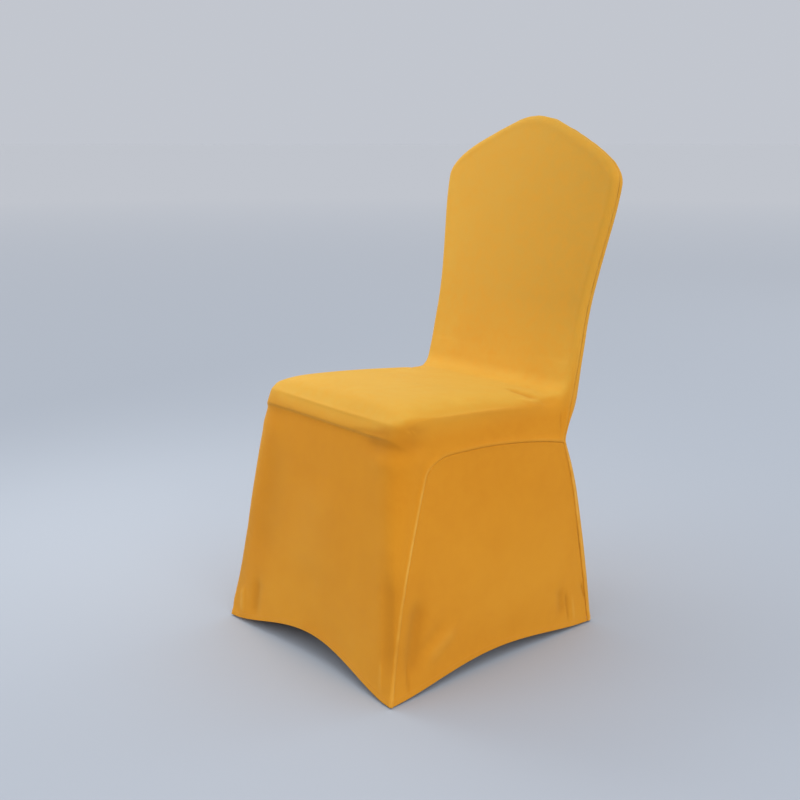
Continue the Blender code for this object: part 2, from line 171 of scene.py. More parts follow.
# Rows and columns of the fine sheets
SKIRT_TOP = 4.5  # place where the leg seam turns into the side piece's top seam
HEM_ROWS = 12  # rows that reach past the hem's stitches
FINE_ENDS = np.array([0.0, 0.001, 0.0021, 0.0033, 0.0046, 0.006, 0.0077, 0.0098, 0.0124, 0.0156])
STEP = 0.0048  # distance between rows elsewhere
CLOSE_ROWS = (
    # front sections where the rows lie closer: place, width, how much
    (5.5, 0.5, 2.5),
    (7.0, 0.4, 3.0),
)
BELOW_BACK_ROWS = 14
OUTLINE_STEPS = 86  # rows up the backrest
ACROSS = 92  # columns of a face
ROUND_STEPS = 6
# Shares of the straight way from a rounded edge to its seam, closer together at the seam
BAND_SHARES = 1 - (1 - np.linspace(0, 1, 12)[1:]) ** 1.7

# Hem of the side piece
SIDE_HEM_RISE = 0.02
SIDE_HEM_PULL = 0.009

# Foot pockets
POCKET_WIDTH = 0.034
POCKET_HEIGHT = 0.06
POCKET_CORNER = 0.015
POCKET_ROUND = 0.006  # rounding of its bottom
POCKET_PULL = 0.0004  # how far its wall draws in half way up
POCKET_ROWS = 24
POCKET_TURN = 6  # steps round a corner
FRONT_POCKET_IN = (0.0105, 0.0065)  # from the cover's corner
REAR_POCKET_IN = (0.005, 0.0065)

SHEETS = (
    # name, width and length of the cut cloth, its area, the pieces it is sewn to
    ("front_panel", (0.58, 1.26), 0.56, ("back_panel",)),
    ("back_panel", (0.44, 0.86), 0.345, ("front_panel",)),
    ("side_panel_right", (0.43, 0.36), 0.14, ("front_panel", "back_panel")),
    ("side_panel_left", (0.43, 0.36), 0.14, ("front_panel", "back_panel")),
)

# Numerical settings
KEY_SHIFT = 0.00000023  # keeps equal points from falling on either side of a rounding
OUTLINE_STEP = 0.01
DENSE_PLACES = 600
LINE_STEP = 0.0006
NEARBY = 0.0003
MILLIMETRE = 0.001
HALVINGS = 30
SHARPEST_MITRE = 0.5


# Surfaces


def soft_curve(corners, softness, places):
    """Points of a curve along a polygon whose corners are cut by their softness, 0 to 1."""
    corners = np.asarray(corners, float)
    last = len(corners) - 1
    points = []
    for place in places:
        near = min(int(place + 0.5), last)
        away = place - near
        corner = corners[near]
        before = (corners[max(near - 1, 0)] + corner) / 2
        after = (corner + corners[min(near + 1, last)]) / 2
        soft = 0.0 if near in (0, last) else softness[near]
        start = corner + (before - corner) * soft
        end = corner + (after - corner) * soft
        if away < -soft / 2:
            share = (away + 0.5) / (0.5 - soft / 2)
            points.append(before + (start - before) * share)
        elif away > soft / 2:
            share = (0.5 - away) / (0.5 - soft / 2)
            points.append(after + (end - after) * share)
        else:
            turn = away / soft + 0.5 if soft else 0.5
            points.append(start * (1 - turn) ** 2 + corner * 2 * turn * (1 - turn) + end * turn**2)
    return np.array(points)


def slab_point(x, z, depth):
    """A point of the leaning backrest: depth is behind its middle plane."""
    y = HIP_Y + (z - HIP_Z) * np.tan(LEAN)
    return np.array([x, y + depth * np.cos(LEAN), z - depth * np.sin(LEAN)])


def outline_at(place):
    """Half width and height of the backrest's outline at a place on it, and the way out from it."""
    places = (place - OUTLINE_STEP, place, min(place + OUTLINE_STEP, CROWN_PEAK))
    low, here, high = soft_curve(OUTLINE, [1.0] * len(OUTLINE), places)
    along = high - low
    return here, np.array([along[1], -along[0]]) / np.hypot(*along)


def place_where(is_before, low, high):
    """The place on the outline up to which a test holds."""
    for _ in range(HALVINGS):
        middle = (low + high) / 2
        if is_before(outline_at(middle)[0]):
            low = middle
        else:
            high = middle
    return middle


def bell(share):
    """0 at a foot, 1 half way between the feet, level at both."""
    return np.abs(np.sin(np.pi * share)) ** BELL_POWER


def face_row(middle, edge, across, power, is_bell):
    """A section's face from left to right: middle is its y and z, edge its right end."""
    row = []
    for u in across:
        fall = 1 - bell((1 + u) / 2) if is_bell else abs(u) ** power
        y = middle[0] + (edge[1] - middle[0]) * fall
        z = middle[1] + (edge[2] - middle[1]) * fall
        row.append((edge[0] * u, y, z))
    return np.array(row)


def rounded_edge(inner, edge, seam, rounding):
    """Points from the face round its edge, part of the way to the seam."""
    way = seam - edge
    length = np.linalg.norm(way)
    outer = edge + way * min(rounding, MOST_ROUNDED * length) / length
    turns = np.linspace(0, 1, ROUND_STEPS + 1)[1:]
    return [inner * (1 - t) ** 2 + edge * 2 * t * (1 - t) + outer * t**2 for t in turns]


def section_controls(middle, edge, seam, rounding, power, is_bell):
    """A section's face and its rounded right edge."""
    shares = np.linspace(-1, 1, ACROSS + 1)
    inner_share = 1 - rounding / edge[0]
    face = face_row(middle, edge, shares * inner_share, power, is_bell)
    return face, rounded_edge(face[-1], edge, seam, rounding)


def low_back_controls(side):
    """The first row that follows the outline: its place there, middle, edge and seam."""
    place = place_where(lambda point: point[1] < LOW_BACK, 0, SHOULDER)
    x, z = outline_at(place)[0]
    middle = slab_point(0, z, side * (RIM + PADDING[side]))
    return place, middle[1:], slab_point(x, z, side * RIM), slab_point(x, z, 0)


def crown_points():
    """The outline from shoulder to shoulder, for each column of a face: its hand, point and way out."""
    shoulder_x = outline_at(SHOULDER)[0][0]
    found = []
    for u in np.linspace(-1, 1, ACROSS + 1):
        place = place_where(lambda point: point[0] > abs(u) * shoulder_x, SHOULDER, CROWN_PEAK)
        point, outward = outline_at(SHOULDER if abs(u) == 1 else place)
        if u == 0:
            point, outward = np.array([0.0, point[1]]), np.array([0.0, 1.0])
        found.append((np.sign(u), point, outward))
    return found


def backrest_rows(side, low_place):
    """The rows between the backrest's foot and its shoulder. Side is -1 for the front, 1 for the back."""
    faces, rounds, seams = [], [], []
    crown = crown_points()
    inner = np.array([(hand * (x - RIM * out[0]), z - RIM * out[1]) for hand, (x, z), out in crown])
    crown_across, crown_rise = inner[:, 0] / inner[-1, 0], inner[:, 1] - inner[-1, 1]
    for share in np.linspace(0, 1, OUTLINE_STEPS + 1)[1:-1]:
        (x, z), outward = outline_at(low_place + (SHOULDER - low_place) * share)
        inner_x, inner_z = x - RIM * outward[0], z - RIM * outward[1]
        face = []
        for u, across, rise in zip(np.linspace(-1, 1, ACROSS + 1), crown_across, crown_rise):
            bow = (z - inner_z) * (1 - u * u) * (1 - share)
            height = inner_z + bow + rise * share**2
            depth = RIM + PADDING[side] * (1 - u * u) * (1 - share**3)
            face.append(slab_point(inner_x * (u + (across - u) * share**2), height, side * depth))
        faces.append(np.array(face))
        seams.append(slab_point(x, z, 0))
        rounds.append(np.array(rounded_edge(face[-1], slab_point(x, z, side * RIM), seams[-1], RIM)))
    return faces, rounds, seams


def crown_row(side):
    """The last row, along the crown: the face's edge, its rounding over the rim, and the rim's seam."""
    face, rounds, seam = [], [], []
    for hand, (x, z), outward in crown_points():
        inner = slab_point(hand * (x - RIM * outward[0]), z - RIM * outward[1], side * RIM)
        edge = slab_point(hand * x, z, side * RIM)
        face.append(inner)
        seam.append(slab_point(hand * x, z, 0))
        rounds.append(rounded_edge(inner, edge, seam[-1], RIM))
    return np.array(face), np.array(rounds), np.array(seam)


def add_straight(band, seam):
    """A band that goes on straight to its seam."""
    start = band[:, -1]
    straight = [start + (seam - start) * share for share in BAND_SHARES]
    return np.concatenate([band, np.stack(straight, axis=1)], axis=1)


def long_piece(sections, rows, hip, side):
    """A piece from the hem over the hip to the crown: its face, its right edge band and its top band."""
    faces, edges, seams, softness = [], [], [], []
    for number, row in enumerate(sections):
        middle_y, middle_z, edge_x, edge_y, edge_z, seam_x, seam_y, seam_z, rounding, soft, power = row[1:]
        edge = np.array([edge_x, edge_y, edge_z])
        seam = np.array([seam_x, seam_y, seam_z])
        is_bell = number < BELL_SECTIONS
        face, rounded = section_controls((middle_y, middle_z), edge, seam, rounding, power, is_bell)
        faces.append(face)
        edges.append(rounded)
        seams.append(seam)
        softness.append(soft)
    low_place, middle, edge, seam = low_back_controls(side)
    face, rounded = section_controls(middle, edge, seam, RIM, 2, False)
    softness.append(1.0)
    face = soft_curve(faces + [face], softness, rows)
    band = soft_curve(np.array(edges + [rounded]), softness, rows)
    low_seam = soft_curve(seams[: hip + 1], [1.0] * len(seams), [row for row in rows if row <= hip])
    shares = [(row - hip) / (len(sections) - hip) for row in rows if row > hip]
    rim_seam = [seams[hip] + (seam - seams[hip]) * share for share in shares]

    upper_faces, upper_rounds, upper_seams = backrest_rows(side, low_place)
    top_face, top_rounds, crown = crown_row(side)
    face = np.concatenate([face, upper_faces, [top_face]])
    band = np.concatenate([band, upper_rounds, [top_rounds[-1]]])
    seam = np.concatenate([low_seam, rim_seam, upper_seams, crown[-1:]])
    return face, add_straight(band, seam), add_straight(top_rounds, crown)


def spaced(length):
    """Shares from 0 to 1 along a line: fine at both ends, even between."""
    ends = FINE_ENDS / length
    count = int(np.ceil((1 - 2 * ends[-1]) * length / STEP))
    between = np.linspace(ends[-1], 1 - ends[-1], count + 1)[1:-1]
    return np.concatenate([ends, between, 1 - ends[::-1]])


def places_along(sections, start, end):
    """Places between two sections, spaced by the length of the face's middle and the seam together."""
    softness = [row[10] for row in sections]
    line = [row[1:3] + row[6:9] for row in sections]
    dense = np.linspace(start, end, DENSE_PLACES)
    points = soft_curve(line, softness, dense)
    steps = np.linalg.norm(np.diff(points, axis=0), axis=1) / np.sqrt(2)
    for crease, width, more in CLOSE_ROWS if sections is FRONT_SECTIONS else ():
        steps *= 1 + more * hump(dense[1:] - crease, width)
    run = np.concatenate([[0], np.cumsum(steps)])
    shares = spaced(run[-1])
    return np.interp(shares * run[-1], run, dense), shares


def mirrored(points):
    """The same points on the other side of the cover."""
    return points * np.array([-1.0, 1.0, 1.0])


def filled(bottom, top, left, right, us, vs):
    """A grid inside four border lines. Bottom and top run left to right, left and right run upwards."""
    u, v = us[None, :, None], vs[:, None, None]
    ruled = bottom[None] * (1 - v) + top[None] * v + left[:, None] * (1 - u) + right[:, None] * u
    corners = bottom[0] * (1 - u) * (1 - v) + bottom[-1] * u * (1 - v)
    return ruled - corners - top[0] * (1 - u) * v - top[-1] * u * v


def side_grid(leg_seam, top_seam, rear_seam, us, vs):
    """The side piece inside its three seams and its arched hem."""
    lift = np.array([-SIDE_HEM_PULL, 0, SIDE_HEM_RISE]) * bell(us)[:, None]
    hem = leg_seam[0] + (rear_seam[0] - leg_seam[0]) * us[:, None] + lift
    return filled(hem, top_seam, leg_seam, rear_seam, us, vs)


# Sheets


def key_of(position):
    """A point's name, the same for all points at its place."""
    return tuple(np.round(position + KEY_SHIFT, 6).tolist())


class Sheet:
    """A sheet's outer face, put together from grids that share their borders."""

    def __init__(self, name):
        self.name = name
        self.points = []
        self.quads = []
        self.flat = []  # each point's place on the cut cloth, in metres
        self.known = {}

    def point(self, position, flat):
        key = key_of(position)
        if key not in self.known:
            self.known[key] = len(self.points)
            self.points.append(position)
            self.flat.append(flat)
        return self.known[key]

    def grid(self, rows, flat, turned=False):
        numbers = [[self.point(p, f) for p, f in zip(*pair)] for pair in zip(rows, flat)]
        for low, high in zip(numbers[:-1], numbers[1:]):
            for k in range(len(low) - 1):
                quad = [low[k], low[k + 1], high[k + 1], high[k]]
                self.quads.append(quad[::-1] if turned else quad)


def shared_normals(sheets):
    """Unit normals at every point of each sheet, shared between sheets where their seams meet."""
    sums = {}
    for sheet in sheets:
        points, quads = np.array(sheet.points), np.array(sheet.quads)
        corners = points[quads]
        outwards = np.cross(corners[:, 2] - corners[:, 0], corners[:, 3] - corners[:, 1])
        sheet.normals = np.zeros_like(points)
        for corner in range(4):
            np.add.at(sheet.normals, quads[:, corner], outwards)
        sheet.keys = [key_of(p) for p in points]
        sheet.border = border_of(sheet.quads)
        for number in sheet.border:
            sums[sheet.keys[number]] = sums.get(sheet.keys[number], 0) + sheet.normals[number]
    for sheet in sheets:
        for number in sheet.border:
            sheet.normals[number] = sums[sheet.keys[number]]
        sheet.normals /= np.linalg.norm(sheet.normals, axis=1)[:, None]


def border_of(quads):
    """The points on the border of some quads, each with the one that follows it."""
    edges = {}
    for quad in quads:
        for a, b in zip(quad, quad[1:] + quad[:1]):
            edges[(a, b)] = True
    return {a: b for (a, b) in edges if (b, a) not in edges}


def drawn_in(points, normals, following, distance):
    """The points, with those on the border moved a distance inwards."""
    moved = points.copy()
    before = {b: a for a, b in following.items()}
    for number, after in following.items():
        way_in = np.cross(normals[number], points[after] - points[number])
        way_in /= np.linalg.norm(way_in)
        way_back = np.cross(normals[number], points[number] - points[before[number]])
        way_back /= np.linalg.norm(way_back)
        bisector = way_in + way_back
        bisector /= np.linalg.norm(bisector)
        moved[number] += bisector * distance / max(bisector @ way_in, SHARPEST_MITRE)
    return moved


def flat_of(rows):
    """Each point's place on the cut cloth: across from the middle column, and along that column."""
    rows = np.asarray(rows)
    steps = np.linalg.norm(np.diff(rows, axis=1), axis=2)
    across = np.concatenate([np.zeros((len(rows), 1)), np.cumsum(steps, axis=1)], axis=1)
    middle = rows.shape[1] // 2
    across -= across[:, middle : middle + 1]
    along = run_along(rows[:, middle])
    return np.stack([across, np.repeat(along[:, None], rows.shape[1], axis=1)], axis=2)


# Relief: what the stretched cloth does beside seams, hems and pockets, and its soft folds


class Line:
    """A border line of a sheet, for the distance of any point from it and the run along it."""

    def __init__(self, points):
        run = run_along(points)
        self.runs = np.arange(0, run[-1], LINE_STEP)
        dense = np.stack([np.interp(self.runs, run, points[:, k]) for k in range(3)], axis=1)
        self.tree = kdtree.KDTree(len(dense))
        for number, point in enumerate(dense):
            self.tree.insert(point, number)
        self.tree.balance()

    def near(self, points):
        found = [self.tree.find(p) for p in points]
        distance = np.array([f[2] for f in found])
        return distance, self.runs[np.array([f[1] for f in found])]


def run_along(points):
    """How far along a line each of its points lies."""
    return np.concatenate([[0], np.cumsum(np.linalg.norm(np.diff(points, axis=0), axis=1))])


def hump(distance, width):
    """1 at no distance, falling softly over a width."""
    return np.exp(-((distance / width) ** 2))


def wander(run, length, bend, bend_length):
    """A wave along a line, between -1 and 1, that never quite repeats."""
    return np.sin(run / length + bend * np.sin(run / bend_length))


def inside_of(edge, distance):
    """1 up to an edge, 0 past it."""
    return 1 / (1 + np.exp((distance - edge) / CUT_EDGE))


def seam_relief(distance, run, ridge):
    """A sewn edge: the sewn line, the ridge beside it and the step where the seam's inside edge ends."""
    uneven = 1 + 0.30 * wander(run, *RIDGE_WAVE) + 0.15 * np.sin(run / 0.0047)
    allowance = ALLOWANCE[0] * ridge * inside_of(ALLOWANCE[1], distance)
    pucker = wander(run, *SEAM_WAVE) * SEAM_PUCKER[0] * hump(distance, SEAM_PUCKER[1])
    sewn = SEWN_LINE[0] * hump(distance, SEWN_LINE[1])
    return ridge * uneven * hump(distance - SEAM_EDGE, RIDGE_WIDTH) + allowance - sewn + pucker


def rim_relief(distance, heights):
    """The edge of the backrest's pad, along the cloth that wraps its rim."""
    begun = np.clip((heights - RIM_START[0]) / RIM_START[1], 0, 1)
    return RIM_RAISED[0] * hump(distance - RIM_EDGE, RIM_RAISED[1]) * begun


def hem_relief(distance, run):
    """A hem turned up inside: the doubled cloth, with its stitched line."""
    doubled = HEM_DOUBLED[0] * inside_of(HEM_DOUBLED[1], distance)
    from_line = distance - HEM_STITCHES
    pucker = wander(run, *HEM_WAVE) * HEM_PUCKER[0] * hump(from_line, HEM_PUCKER[1])
    return doubled - HEM_LINE[0] * hump(from_line, HEM_LINE[1]) + pucker


def fold_relief(points, folds):
    """Soft ridges (height above 0) and troughs (below 0), each along a bent way with faded ends, and the
    tone painted there: painted highlight above 0, painted shade below 0."""
    total, tones = np.zeros(len(points)), np.zeros(len(points))
    for way, width, height, tone in folds:
        runs = run_along(way)
        nearest, share = np.full(len(points), np.inf), np.zeros(len(points))
        for start, end, run, length in zip(way, way[1:], runs, np.diff(runs)):
            step = np.clip((points - start) @ (end - start) / length, 0, length)
            distance = np.linalg.norm(points - start - step[:, None] * (end - start) / length, axis=1)
            share = np.where(distance < nearest, (run + step) / runs[-1], share)
            nearest = np.minimum(distance, nearest)
        fade = np.clip(np.minimum(share, 1 - share) / FOLD_FADE, 0, 1)
        strength = hump(nearest, width) * (FOLD_ENDS + (1 - FOLD_ENDS) * fade * fade * (3 - 2 * fade))
        total += height * strength
        tones += tone * strength
    return total, np.clip(tones, -1, 1)


def unevenness(points):
    """The slack of stretched cloth: broad, under a millimetre."""
    broad = [noise.noise(Vector(p) * BROAD_SLACK[0]) for p in points]
    small = [noise.noise(Vector(p) * SMALL_SLACK[0] + Vector(SLACK_SHIFT)) for p in points]
    return BROAD_SLACK[1] * np.array(broad) + SMALL_SLACK[1] * np.array(small)


# Folds, in millimetres: way over the cloth's right half, width, height, painted tone (painted highlight
# above 0, painted shade below 0), and strength on the right and on the left
FOLDS = (
    # crease under the cushion's front corner, the hollow below it, the swell, and two short creases
    (((71, -236, 433), (134, -237, 439), (173, -235, 440), (197, -223, 440)), 3.5, -1.8, -0.5, 1, 0.3),
    (
        ((110, -235, 422), (174, -236, 427), (199, -225, 428), (206, -205, 428), (205, -172, 425)),
        14, -2.4, -1.3, 1, 0.3,
    ),
    (((126, -240, 389), (185, -238, 390), (204, -229, 391), (210, -183, 394)), 12, 2, 0, 1, 0.5),
    (((118, -236, 426.5), (165, -238, 427), (203, -224, 427)), 5, 2.2, 0, 1, 0.3),
    (
        ((138, -233, 446), (172, -231, 446.5), (192, -220, 448), (200, -200, 449), (201, -165, 446)),
        8.5, -0.8, -1, 1, 0.3,
    ),
    (((157, -238, 435), (192, -230, 434)), 2, 0.9, 0.9, 1, 0.5),
    (((200, -213, 446.6), (202.5, -196, 447.7)), 2, 0.9, 0.9, 1, 0.5),
    # edge of the cushion under the cloth, at the sides and along the front
    (
        ((193, -208, 464.6), (199, -139, 460.4), (197.6, -48, 457.1), (197.2, 47, 452), (196, 85, 452)),
        3, 1.4, 0.5, 1, 1,
    ),
    (((-185, -228, 460), (-60, -229, 458.5), (60, -229.5, 458), (175, -227, 457.5)), 3, 1.3, 0.4, 1, 0),
    # crease where the seat meets the backrest's foot, the tip it pulls, and the round hip behind the tip
    (((118, 84, 468), (150, 89, 464.5), (170, 96, 461), (189, 106, 457)), 8, -4.4, -0.9, 1, 0.7),
    (((176, 60, 460), (196, 87, 453)), 5, 2.4, 0.8, 1, 0.7),
    (((197, 96, 452), (199, 125, 453), (201, 155, 457)), 11, -5, 0, 1, 0.8),
    # line at the hip's side
    (((201.5, 146.5, 429), (202.7, 145, 411), (203.8, 145.7, 392)), 2.2, -1.4, -0.7, 1, 1),
    # front of the skirt: tight down the middle, slack beside the legs
    (((0, -246, 340), (0, -266, 130)), 70, 4, 0.25, 1, 0),
    (((146, -242, 390), (152, -257.3, 254.4), (170, -273, 115)), 42, -4, -0.5, 0.2, 1),
    # taut bands up from the front foot, on both sides of the leg's seam
    (
        ((205, -258, 235), (220, -262, 185), (228, -269, 135), (234, -276, 90), (238, -281, 30)),
        16.5, -4.2, -1.1, 1, 0.6,
    ),
    (((230, -208, 175), (235, -216, 128), (239, -226, 90), (244, -240, 30)), 20, -5.2, -1.35, 1, 0.6),
    (((228, -149, 112), (232, -175, 96), (237, -203, 78), (240, -219, 60)), 12, -1.6, -0.25, 1, 0.6),
    (((225, -120, 92), (233, -166, 70), (239, -200, 48)), 12, 2.6, 0.4, 1, 0.6),
    # pocket's sewn edges at the front foot, and the slack beside the left one
    (((215, -280, 72), (222.2, -286, 14)), 2.6, 1.4, 1, 1, 0.6),
    (((242.8, -241.5, 68), (247.2, -244.8, 10)), 2.6, -2.2, -1.4, 1, 1),
    (((219, -281, 68), (214, -285, 14)), 4.8, 2.4, 1, 0, 1),
    (((170, -276, 105), (174, -279.5, 54), (178, -282, 15)), 13, -3.6, -0.8, 0, 1),
    # pocket's sewn edges and small folds at the rear foot
    (((209.6, 148, 95), (210, 158, 30)), 11, -2.6, -0.7, 1, 0.8),
    (((209.2, 166, 80), (209.4, 170.1, 54), (209.6, 175.2, 16)), 2.5, -2.2, -1.4, 1, 1),
    (((208.6, 183.5, 68), (208.7, 187.7, 41.2), (208.9, 193, 12)), 2.5, 1.4, 1, 1, 1),
    (((206.9, 208, 88), (206.4, 222.6, 50)), 3.5, -2, -1.2, 1, 1),
)


def folds_of_both_sides():
    """Ways, widths, heights and tones of all folds on the right, then on the left."""
    found = []
    for side, which in ((1, 0), (-1, 1)):
        for way, width, height, tone, *strengths in FOLDS:
            strength = strengths[which]
            if strength:
                placed = np.array(way) * np.array([side, 1, 1]) * MILLIMETRE
                sizes = width * MILLIMETRE, height * MILLIMETRE * strength
                found.append((placed, *sizes, tone * strength))
    return found


# Materials


class Nodes:
    """Short calls to build a material's nodes."""

    def __init__(self, name):
        self.material = bpy.data.materials.new(name)
        self.material.use_nodes = True
        self.tree = self.material.node_tree
        self.shader = self.tree.nodes["Principled BSDF"]

    def put(self, socket, value):
        if isinstance(value, bpy.types.NodeSocket):
            self.tree.links.new(value, socket)
        else:
            socket.default_value = value

    def shade(self, name, value):
        self.put(self.shader.inputs[name], value)

    def math(self, operation, a, b=0.0):
        node = self.tree.nodes.new("ShaderNodeMath")
        node.operation = operation
        for socket, value in zip(node.inputs, (a, b)):
            self.put(socket, value)
        return node.outputs[0]

    def times(self, a, b):
        return self.math("MULTIPLY", a, b)

    def noise(self, vector, scale, detail=2.0, roughness=0.5):
        node = self.tree.nodes.new("ShaderNodeTexNoise")
        self.put(node.inputs["Vector"], vector)
        node.inputs["Scale"].default_value = scale
        node.inputs["Detail"].default_value = detail
        node.inputs["Roughness"].default_value = roughness
        return node.outputs["Fac"]

    def map(self, name):
        node = self.tree.nodes.new("ShaderNodeUVMap")
        node.uv_map = name
        return node.outputs[0]

    def split(self, vector):
        node = self.tree.nodes.new("ShaderNodeSeparateXYZ")
        self.put(node.inputs[0], vector)
        return node.outputs

    def ramp(self, value, low, high, out_low, out_high):
        node = self.tree.nodes.new("ShaderNodeMapRange")
        names = ("Value", "From Min", "From Max", "To Min", "To Max")
        for name, given in zip(names, (value, low, high, out_low, out_high)):
            self.put(node.inputs[name], given)
        return node.outputs["Result"]

    def mix(self, share, first, second):
        node = self.tree.nodes.new("ShaderNodeMix")
        node.data_type = "RGBA"
        self.put(node.inputs["Factor"], share)
        for name, value in (("A", first), ("B", second)):
            self.put([s for s in node.inputs if s.name == name and s.type == "RGBA"][0], value)
        return [s for s in node.outputs if s.type == "RGBA"][0]

    def bump(self, height, strength, distance):
        node = self.tree.nodes.new("ShaderNodeBump")
        node.inputs["Strength"].default_value = strength
        node.inputs["Distance"].default_value = distance
        self.put(node.inputs["Height"], height)
        self.shade("Normal", node.outputs["Normal"])


MUSTARD = (0.740, 0.285, 0.014, 1.0)
# for the uneven dye, and for the painted shade between the knit's loops
DEEP = (0.670, 0.240, 0.010, 1.0)
# for the random mottle, and for the painted light that the floor throws up on the skirt
PALE = (0.780, 0.330, 0.024, 1.0)
PAINTED_LIT = (0.755, 0.415, 0.052, 1.0)  # painted light: the paler, yellower tone that sheen and light from above give the seat and the backrest's front
# the same painted light, with the deeper dye
PAINTED_LIT_DEEP = (0.690, 0.345, 0.036, 1.0)
PAINTED_SHADE_BACKREST = (0.615, 0.325, 0.038, 1.0)  # painted shade: the backrest's front darker, most of all towards its right, away from the light
PAINTED_HIGHLIGHT = (0.840, 0.420, 0.060, 1.0)  # painted highlight on the ridge beside a seam and on a fold's ridge
PAINTED_FOLD_SHADE = (0.560, 0.200, 0.009, 1.0)  # painted shade in a fold's trough
SEWN = (0.420, 0.140, 0.008, 1.0)  # in the sewn line
THREAD = (0.780, 0.350, 0.030, 1.0)
WALE = 0.0011  # distance between the knit's columns of loops
COURSE = 0.0009  # between its rows
YARN, PATCHES, MOTTLE, DYE = 900.0, 45.0, 60.0, 6.0  # scales of the noise in the cloth
KNIT_SHADER = {
    "Specular IOR Level": 0.11,
    "Sheen Weight": 0.40,
    "Sheen Roughness": 0.40,
    "Sheen Tint": (1.0, 0.86, 0.22, 1.0),
}

# Where the painted light and painted shade turn: heights, and how far sideways (x) or backwards (y) the
# cloth faces
ONTO_PAD = (0.425, 0.462)
OVER_SEAT = (0.47, 0.55)
UP_BACKREST = (0.50, 0.62)
FLOOR_BOUNCE_HEIGHTS = (0.32, 0.10)
RIDGE_TOP = (0.33, 0.39)
RIDGE_FOOT = (0.10, 0.24)
SIDEWAYS = (0.35, 0.85)
BACKWARDS = (0.25, 0.60)


def knit(name, ridge_share=0.0, has_seams=True):
    """Fine stretch knit: columns of slanted loops, an uneven dye, a soft sheen. Painted light makes it
    paler and yellower on the seat and the backrest's front, painted shade darkens the backrest towards its
    right, and painted light from the floor makes the skirt paler towards its hem. Painted highlights lie on
    the ridge beside a seam and on the folds' ridges, painted shade in the folds' troughs and between the
    loops.
    It is deeper where it is sewn."""
    n = Nodes(name)
    coordinates = n.tree.nodes.new("ShaderNodeTexCoord")
    flat = n.map("Cloth")
    place = coordinates.outputs["Object"]
    across, along = n.split(flat)[:2]
    column = n.times(across, 2 * np.pi / WALE)
    leg = n.math("ABSOLUTE", n.math("SINE", n.times(column, 0.5)))
    slant = n.times(n.math("COSINE", column), 1.1)
    row = n.math("SINE", n.math("ADD", n.times(along, 2 * np.pi / COURSE), slant))
    loops = n.math("ADD", n.times(leg, 0.7), n.times(row, 0.3))
    yarn = n.noise(place, YARN)
    height = n.math("ADD", loops, n.times(yarn, 0.5))

    dye = n.noise(place, DYE, 4.0, 0.6)
    mottle = n.noise(place, MOTTLE, 3.0, 0.6)
    height_above = n.split(place)[2]
    normal = n.split(coordinates.outputs["Normal"])
    sideways = n.math("ABSOLUTE", normal[0])
    # painted light: the seat and the backrest's front paler and yellower, less on faces turned sideways and
    # backwards
    at_sides = n.ramp(height_above, *OVER_SEAT, 0.4, 0.7)
    painted_light_share = n.times(n.ramp(height_above, *ONTO_PAD, 0.0, 1.0), n.ramp(sideways, *SIDEWAYS, 1.0, at_sides))
    painted_light_share = n.times(painted_light_share, n.ramp(normal[1], *BACKWARDS, 1.0, 0.20))
    # painted shade: the backrest's front grows darker towards its right
    facing = n.times(n.ramp(height_above, *UP_BACKREST, 0.0, 1.0), n.ramp(sideways, *SIDEWAYS, 1.0, 0.0))
    to_right = n.ramp(n.split(place)[0], -0.20, 0.20, 0.30, 1.0)
    painted_light_and_shade = n.mix(n.times(facing, to_right), PAINTED_LIT, PAINTED_SHADE_BACKREST)
    # painted light bounced from the floor: the skirt paler towards its hem
    floor_bounce_tone = n.mix(n.ramp(height_above, *FLOOR_BOUNCE_HEIGHTS, 0.0, 0.80), MUSTARD, PALE)
    colour = n.mix(painted_light_share, floor_bounce_tone, painted_light_and_shade)
    # the uneven dye, deeper in patches; on the painted-lit parts it deepens the painted light's copy
    colour = n.mix(n.ramp(dye, 0.35, 0.65, 0.0, 0.55), colour, n.mix(painted_light_share, DEEP, PAINTED_LIT_DEEP))
    colour = n.mix(n.ramp(mottle, 0.4, 0.8, 0.0, 0.35), colour, PALE)
    # painted shade in the hollows between the knit's loops
    colour = n.mix(n.ramp(loops, 0.0, 0.35, 0.35, 0.0), colour, DEEP)
    if has_seams:
        # painted shade in the folds' troughs, painted highlight on their ridges
        tone = n.split(n.map("Folds"))[0]
        colour = n.mix(n.ramp(tone, 0.0, -1.0, 0.0, 0.65), colour, PAINTED_FOLD_SHADE)
        colour = n.mix(n.ramp(tone, 0.0, 1.0, 0.0, 0.45), colour, PAINTED_HIGHLIGHT)
        distance = n.split(n.map("Seam"))[0]
        from_ridge = n.math("ABSOLUTE", n.math("SUBTRACT", distance, SEAM_EDGE))
        patchy = n.ramp(n.noise(place, PATCHES), 0.35, 0.60, 0.45, 1.0)
        at_top = n.ramp(height_above, *RIDGE_TOP, 1.0, 0.15)
        along_leg = n.times(at_top, n.ramp(height_above, *RIDGE_FOOT, 0.45, 1.0))
        # painted highlight along the ridge beside a seam, patchy, weaker towards the top and the foot
        ridge_highlight = n.times(n.ramp(from_ridge, 0.0008, 0.0036, ridge_share, 0.0), patchy)
        colour = n.mix(n.times(ridge_highlight, along_leg), colour, PAINTED_HIGHLIGHT)
        colour = n.mix(n.ramp(distance, 0.0002, 0.0010, 0.15, 0.0), colour, SEWN)
    n.shade("Base Color", colour)
    n.shade("Roughness", n.ramp(mottle, 0.3, 0.7, 0.62, 0.74))
    for title, value in KNIT_SHADER.items():
        n.shade(title, value)
    n.bump(height, 0.55, 0.00022)
    return n.material


